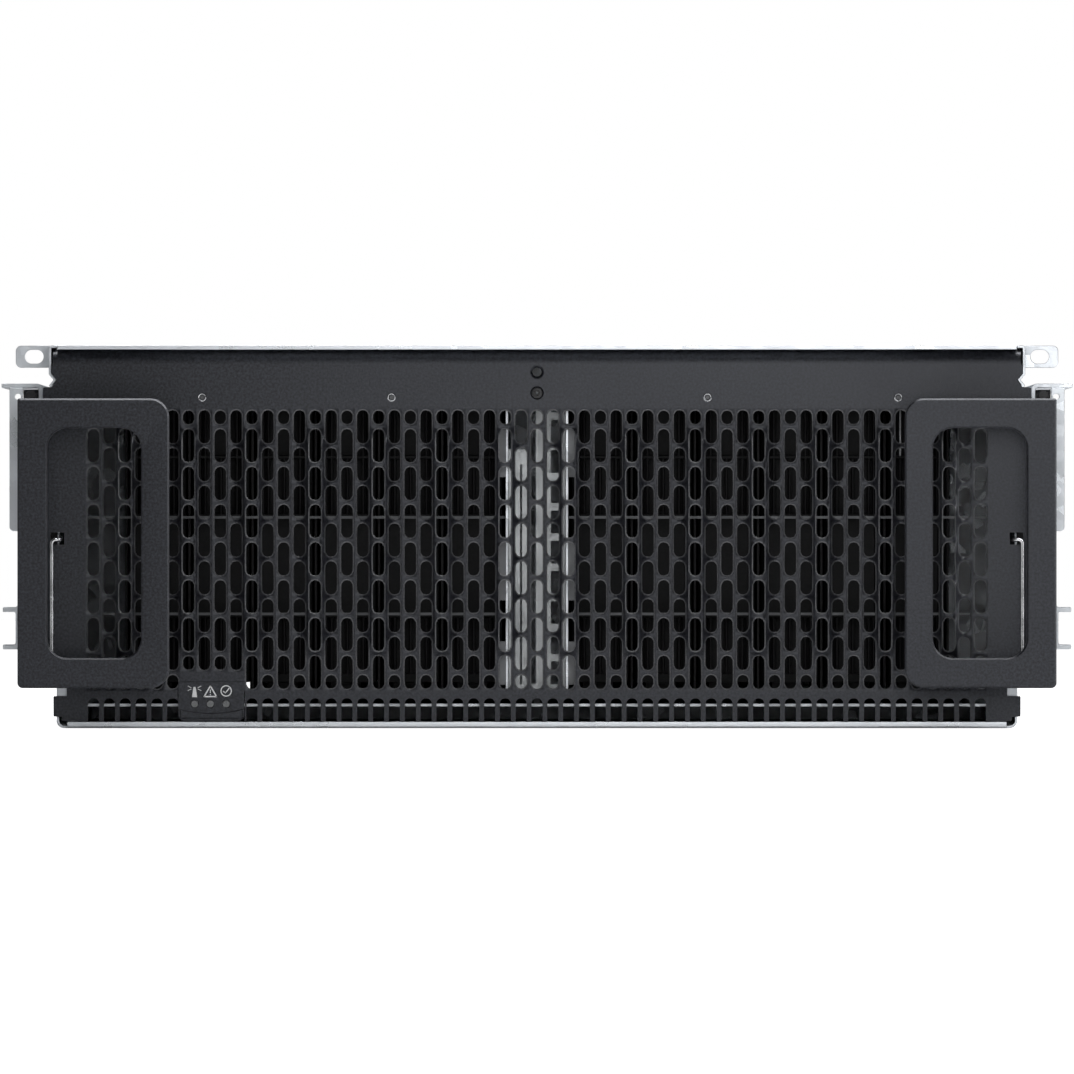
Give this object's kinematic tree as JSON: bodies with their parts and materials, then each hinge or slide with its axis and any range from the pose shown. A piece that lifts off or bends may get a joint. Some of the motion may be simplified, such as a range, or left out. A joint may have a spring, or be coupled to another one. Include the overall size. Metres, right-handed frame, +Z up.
{
  "type": "disk enclosure",
  "caption": "Rack-mount top-loading disk enclosure with a ribbed, slotted front bezel, pull handles, slide rails, drive bay, fans, power supplies and port modules behind lift-off lids.",
  "frame": {"origin": "under the middle of the whole object, on the surface it stands on", "axes": "+X to the right seen from the front, +Y to the back, +Z up"},
  "size_m": [0.4956, 0.864, 0.1768],
  "materials": {
    "galvanised": "bright galvanised sheet",
    "bezel_black": "fine satin texture",
    "handle_black": "fine speckled texture",
    "chrome_wire": "bright plated",
    "fastener_steel": "bright",
    "drive_grey": "dark satin",
    "divider_dark": "dark satin",
    "board_green": "solder resist",
    "moulded_black": "moulded",
    "light_pipe": "clear grey",
    "lever_grey": "moulded"
  },
  "bodies": {
    "chassis": {"chassis_tray": "galvanised", "front_bezel": "bezel_black", "status_panel": "bezel_black", "status_light_pipes": "light_pipe", "bezel_rivets": "fastener_steel", "left_handle": "handle_black", "right_handle": "handle_black", "slide_members": "galvanised", "drives": "drive_grey", "slot_dividers": "divider_dark", "cross_rails": "galvanised", "drive_board": "board_green", "drive_sockets": "moulded_black", "bay_floor": "galvanised", "board_spacers": "fastener_steel", "duct_walls": "galvanised", "duct_baffle": "galvanised", "mid_bulkhead": "galvanised", "module_shelf": "galvanised", "module_dividers": "galvanised", "fan_wall": "galvanised", "fan_1_frame": "moulded_black", "fan_2_frame": "moulded_black", "fan_3_frame": "moulded_black", "fan_4_frame": "moulded_black", "rear_panel": "galvanised", "rear_screws": "fastener_steel"},
    "drive_cover": {"drive_cover": "galvanised"},
    "fan_cover": {"fan_cover": "galvanised"},
    "left_rail": {"left_slide_rail": "galvanised", "left_rail_bracket": "galvanised", "left_rail_stop": "moulded_black"},
    "left_release": {"left_release_wire": "chrome_wire"},
    "right_rail": {"right_slide_rail": "galvanised", "right_rail_bracket": "galvanised", "right_rail_stop": "moulded_black"},
    "right_release": {"right_release_wire": "chrome_wire"},
    "fan_1": {"fan_1_rotor": "moulded_black"},
    "fan_2": {"fan_2_rotor": "moulded_black"},
    "fan_3": {"fan_3_rotor": "moulded_black"},
    "fan_4": {"fan_4_rotor": "moulded_black"},
    "supply_a": {"supply_a_case": "galvanised", "supply_a_inlet": "moulded_black", "supply_a_pull": "chrome_wire"},
    "supply_a_rotor": {"supply_a_fan": "moulded_black"},
    "supply_a_release": {"supply_a_latch": "lever_grey"},
    "supply_b": {"supply_b_case": "galvanised", "supply_b_inlet": "moulded_black", "supply_b_pull": "chrome_wire"},
    "supply_b_rotor": {"supply_b_fan": "moulded_black"},
    "supply_b_release": {"supply_b_latch": "lever_grey"},
    "io_a": {"io_a_tray": "galvanised", "io_a_board": "board_green", "io_a_ports": "chrome_wire"},
    "io_a_eject": {"io_a_lever": "lever_grey"},
    "io_b": {"io_b_tray": "galvanised", "io_b_board": "board_green", "io_b_ports": "chrome_wire"},
    "io_b_eject": {"io_b_lever": "lever_grey"}
  },
  "joints": [
    {"name": "left_rail_slide", "type": "slide", "parent": "chassis", "child": "left_rail", "axis": [0, 1, 0], "range_m": [0, 0.6]},
    {"name": "left_release_hinge", "type": "hinge", "parent": "chassis", "child": "left_release", "pos_m": [-0.224, -0.405, 0.026], "axis": [1, 0, 0], "range_deg": [0, 8], "stiffness_Nm_per_rad": 0.02},
    {"name": "right_rail_slide", "type": "slide", "parent": "chassis", "child": "right_rail", "axis": [0, 1, 0], "range_m": [0, 0.6]},
    {"name": "right_release_hinge", "type": "hinge", "parent": "chassis", "child": "right_release", "pos_m": [0.224, -0.405, 0.026], "axis": [1, 0, 0], "range_deg": [0, 8], "stiffness_Nm_per_rad": 0.02},
    {"name": "fan_1_spin", "type": "hinge", "parent": "chassis", "child": "fan_1", "pos_m": [-0.156, 0.3772, 0.11], "axis": [0, 1, 0], "continuous": true},
    {"name": "fan_2_spin", "type": "hinge", "parent": "chassis", "child": "fan_2", "pos_m": [-0.052, 0.3772, 0.11], "axis": [0, 1, 0], "continuous": true},
    {"name": "fan_3_spin", "type": "hinge", "parent": "chassis", "child": "fan_3", "pos_m": [0.052, 0.3772, 0.11], "axis": [0, 1, 0], "continuous": true},
    {"name": "fan_4_spin", "type": "hinge", "parent": "chassis", "child": "fan_4", "pos_m": [0.156, 0.3772, 0.11], "axis": [0, 1, 0], "continuous": true},
    {"name": "supply_a_slide", "type": "slide", "parent": "chassis", "child": "supply_a", "axis": [0, 1, 0], "range_m": [0, 0.19]},
    {"name": "supply_a_fan_spin", "type": "hinge", "parent": "supply_a", "child": "supply_a_rotor", "pos_m": [-0.065, 0.3955, 0.023], "axis": [0, 1, 0], "continuous": true},
    {"name": "supply_a_latch_hinge", "type": "hinge", "parent": "supply_a", "child": "supply_a_release", "pos_m": [-0.005, 0.385, 0.023], "axis": [0, 0, 1], "range_deg": [0, 4], "stiffness_Nm_per_rad": 0.05},
    {"name": "supply_b_slide", "type": "slide", "parent": "chassis", "child": "supply_b", "axis": [0, 1, 0], "range_m": [0, 0.19]},
    {"name": "supply_b_fan_spin", "type": "hinge", "parent": "supply_b", "child": "supply_b_rotor", "pos_m": [0.025, 0.3955, 0.023], "axis": [0, 1, 0], "continuous": true},
    {"name": "supply_b_latch_hinge", "type": "hinge", "parent": "supply_b", "child": "supply_b_release", "pos_m": [0.085, 0.385, 0.023], "axis": [0, 0, 1], "range_deg": [0, 4], "stiffness_Nm_per_rad": 0.05},
    {"name": "io_a_slide", "type": "slide", "parent": "chassis", "child": "io_a", "axis": [0, 1, 0], "range_m": [0, 0.17]},
    {"name": "io_a_lever_hinge", "type": "hinge", "parent": "io_a", "child": "io_a_eject", "pos_m": [-0.206, 0.4114, 0.037], "axis": [0, 0, 1], "range_deg": [0, 70]},
    {"name": "io_b_slide", "type": "slide", "parent": "chassis", "child": "io_b", "axis": [0, 1, 0], "range_m": [0, 0.17]},
    {"name": "io_b_lever_hinge", "type": "hinge", "parent": "io_b", "child": "io_b_eject", "pos_m": [0.1, 0.4114, 0.037], "axis": [0, 0, 1], "range_deg": [0, 70]},
    {"name": "drive_cover_lift", "type": "slide", "parent": "chassis", "child": "drive_cover", "axis": [0, 0, 1], "range_m": [0, 0.15]},
    {"name": "fan_cover_lift", "type": "slide", "parent": "chassis", "child": "fan_cover", "axis": [0, 0, 1], "range_m": [0, 0.15]}
  ],
  "couplings": [
    {"joint": "right_rail_slide", "follows": "left_rail_slide", "ratio": 1}
  ]
}
